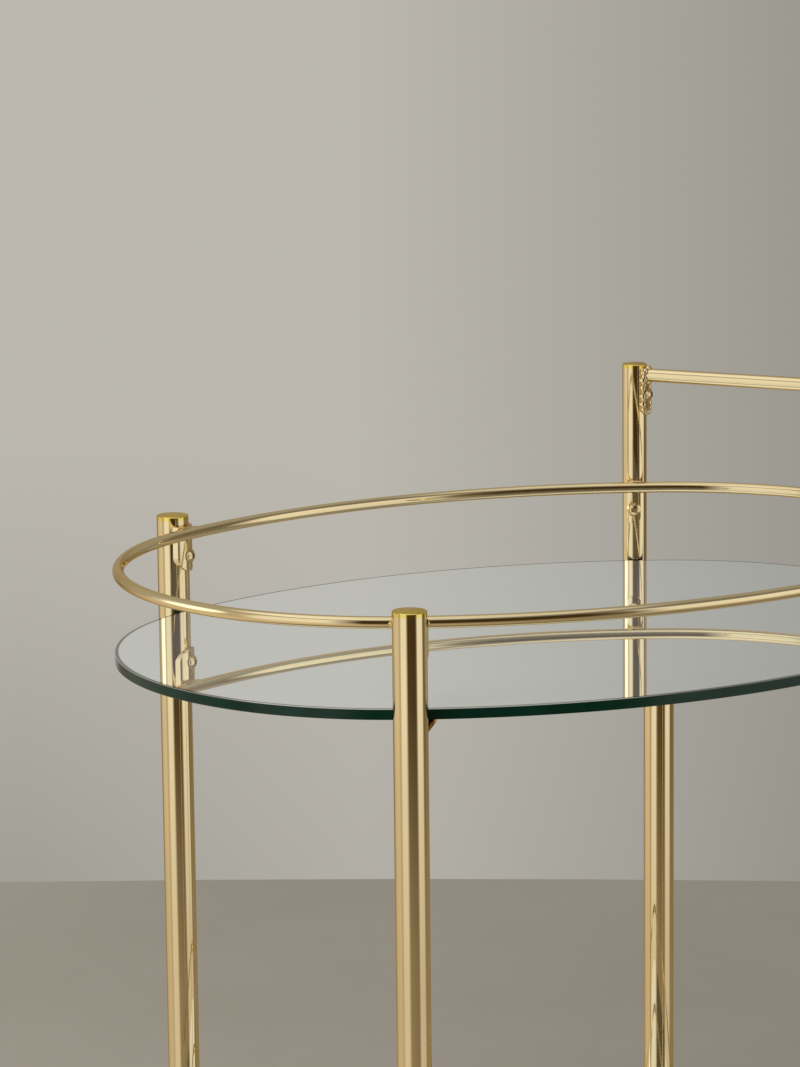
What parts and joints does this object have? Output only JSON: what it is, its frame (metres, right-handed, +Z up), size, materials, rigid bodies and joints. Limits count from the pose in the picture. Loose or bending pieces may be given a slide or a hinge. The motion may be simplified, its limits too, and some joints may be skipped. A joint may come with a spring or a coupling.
{
  "type": "dessert trolley",
  "caption": "Oval serving trolley: polished gold tube frame, mirror shelves with round gallery rails, bowed push handle, large rear wheels and swivel casters.",
  "frame": {"origin": "on the floor, under the middle of the two oval shelves", "axes": "+X along the shelves towards the handle end, +Y across them, +Z up"},
  "size_m": [0.669, 0.4868, 0.8226],
  "materials": {
    "frame_gold": "polished gold plate",
    "fitting_gold": "polished gold plate, slightly greener",
    "wheel_gold": "polished gold plate",
    "mirror_glass": "silvered float glass, polished edge with a fine arris",
    "tyre_rubber": "matt moulded rubber",
    "pad_rubber": "soft grey rubber",
    "bush_bronze": "plain bearing bronze"
  },
  "bodies": {
    "frame": {"top_mirror": "mirror_glass", "lower_mirror": "mirror_glass", "top_rail": "frame_gold", "lower_rail": "frame_gold", "front_left_leg": "frame_gold", "back_left_leg": "frame_gold", "front_right_leg": "frame_gold", "back_right_leg": "frame_gold", "front_leg_cap": "fitting_gold", "back_leg_cap": "fitting_gold", "front_handle_post": "frame_gold", "back_handle_post": "frame_gold", "front_post_caps": "fitting_gold", "back_post_caps": "fitting_gold", "handle_bar": "frame_gold", "front_handle_saddle": "frame_gold", "back_handle_saddle": "frame_gold", "front_left_rail_saddle": "frame_gold", "back_left_rail_saddle": "frame_gold", "front_right_rail_saddle": "frame_gold", "back_right_rail_saddle": "frame_gold", "front_left_lower_saddle": "frame_gold", "back_left_lower_saddle": "frame_gold", "front_right_lower_saddle": "frame_gold", "back_right_lower_saddle": "frame_gold", "saddle_screws": "fitting_gold", "front_shelf_tongue": "frame_gold", "back_shelf_tongue": "frame_gold", "top_shelf_pads": "pad_rubber", "lower_shelf_pads": "pad_rubber", "top_crossbar": "frame_gold", "lower_left_crossbar": "frame_gold", "lower_right_crossbar": "frame_gold", "lower_stretcher": "frame_gold", "front_leg_plug": "fitting_gold", "back_leg_plug": "fitting_gold", "wheel_axle": "frame_gold", "axle_spacers": "frame_gold", "front_axle_nut": "fitting_gold", "back_axle_nut": "fitting_gold", "front_caster_socket": "fitting_gold", "back_caster_socket": "fitting_gold"},
    "front_large_wheel": {"front_wheel": "wheel_gold", "front_tyre": "tyre_rubber", "front_bush": "bush_bronze"},
    "front_caster_swivel": {"front_caster_fork": "wheel_gold", "front_caster_axle": "fitting_gold"},
    "front_caster_roller": {"front_caster_wheel": "wheel_gold", "front_caster_tyre": "tyre_rubber"},
    "back_large_wheel": {"back_wheel": "wheel_gold", "back_tyre": "tyre_rubber", "back_bush": "bush_bronze"},
    "back_caster_swivel": {"back_caster_fork": "wheel_gold", "back_caster_axle": "fitting_gold"},
    "back_caster_roller": {"back_caster_wheel": "wheel_gold", "back_caster_tyre": "tyre_rubber"}
  },
  "joints": [
    {"name": "front_wheel_spin", "type": "hinge", "parent": "frame", "child": "front_large_wheel", "pos_m": [0.20131, -0.20736, 0.07], "axis": [0, 1, 0], "continuous": true},
    {"name": "front_caster_turn", "type": "hinge", "parent": "frame", "child": "front_caster_swivel", "pos_m": [-0.21415, -0.2101, 0.066], "axis": [0, 0, 1], "continuous": true},
    {"name": "front_caster_spin", "type": "hinge", "parent": "front_caster_swivel", "child": "front_caster_roller", "pos_m": [-0.19615, -0.2101, 0.03], "axis": [0, 1, 0], "continuous": true},
    {"name": "back_wheel_spin", "type": "hinge", "parent": "frame", "child": "back_large_wheel", "pos_m": [0.20131, 0.20736, 0.07], "axis": [0, 1, 0], "continuous": true},
    {"name": "back_caster_turn", "type": "hinge", "parent": "frame", "child": "back_caster_swivel", "pos_m": [-0.21415, 0.2101, 0.066], "axis": [0, 0, 1], "continuous": true},
    {"name": "back_caster_spin", "type": "hinge", "parent": "back_caster_swivel", "child": "back_caster_roller", "pos_m": [-0.19615, 0.2101, 0.03], "axis": [0, 1, 0], "continuous": true}
  ]
}
